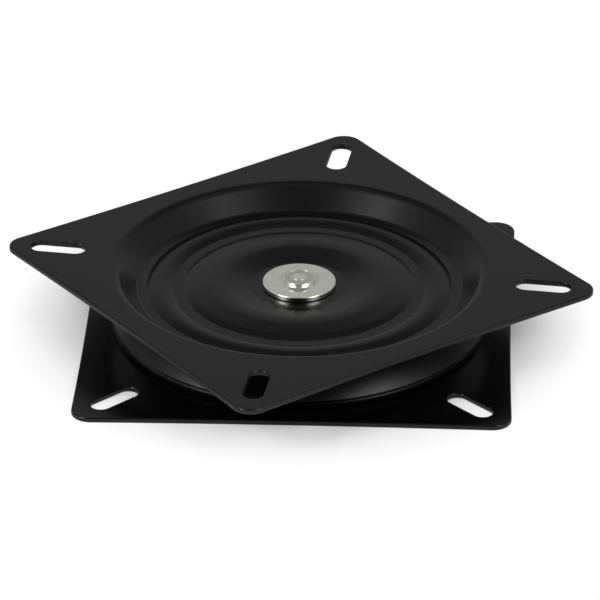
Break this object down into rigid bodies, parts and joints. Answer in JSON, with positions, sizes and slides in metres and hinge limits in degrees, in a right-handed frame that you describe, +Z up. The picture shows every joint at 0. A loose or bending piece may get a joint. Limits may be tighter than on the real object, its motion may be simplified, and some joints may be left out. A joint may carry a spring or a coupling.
{
  "type": "boat seat swivel",
  "caption": "Flat swivel for a boat seat: two square pressed plates with slotted corners turn on a caged ball ring round a centre rivet.",
  "frame": {"origin": "on the swivel axis, at the underside of the base plate's flange", "axes": "+Z up along the swivel axis, +X and +Y along the base plate's edges"},
  "size_m": [0.2438, 0.2438, 0.026],
  "materials": {
    "black_steel": "satin black powder coat",
    "black_plastic": "moulded satin black",
    "pale_nylon": "natural moulded",
    "zinc_steel": "turned, bright zinc plated",
    "ball_steel": "polished bearing steel"
  },
  "bodies": {
    "base": {"base_plate": "black_steel", "centre_rivet": "zinc_steel", "upper_washer": "zinc_steel", "lower_washer": "zinc_steel", "spacer": "pale_nylon"},
    "seat": {"seat_plate": "black_steel"},
    "ball_ring": {"ball_cage": "black_plastic", "ball_01": "ball_steel", "ball_02": "ball_steel", "ball_03": "ball_steel", "ball_04": "ball_steel", "ball_05": "ball_steel", "ball_06": "ball_steel", "ball_07": "ball_steel", "ball_08": "ball_steel", "ball_09": "ball_steel", "ball_10": "ball_steel", "ball_11": "ball_steel", "ball_12": "ball_steel", "ball_13": "ball_steel", "ball_14": "ball_steel", "ball_15": "ball_steel", "ball_16": "ball_steel", "ball_17": "ball_steel", "ball_18": "ball_steel", "ball_19": "ball_steel", "ball_20": "ball_steel", "ball_21": "ball_steel", "ball_22": "ball_steel", "ball_23": "ball_steel", "ball_24": "ball_steel"}
  },
  "joints": [
    {"name": "seat_swivel", "type": "hinge", "parent": "base", "child": "seat", "pos_m": [0, 0, 0.013], "axis": [0, 0, 1], "continuous": true},
    {"name": "ball_ring_turn", "type": "hinge", "parent": "base", "child": "ball_ring", "pos_m": [0, 0, 0.013], "axis": [0, 0, 1], "continuous": true}
  ],
  "couplings": [
    {"joint": "ball_ring_turn", "follows": "seat_swivel", "ratio": 0.5}
  ]
}
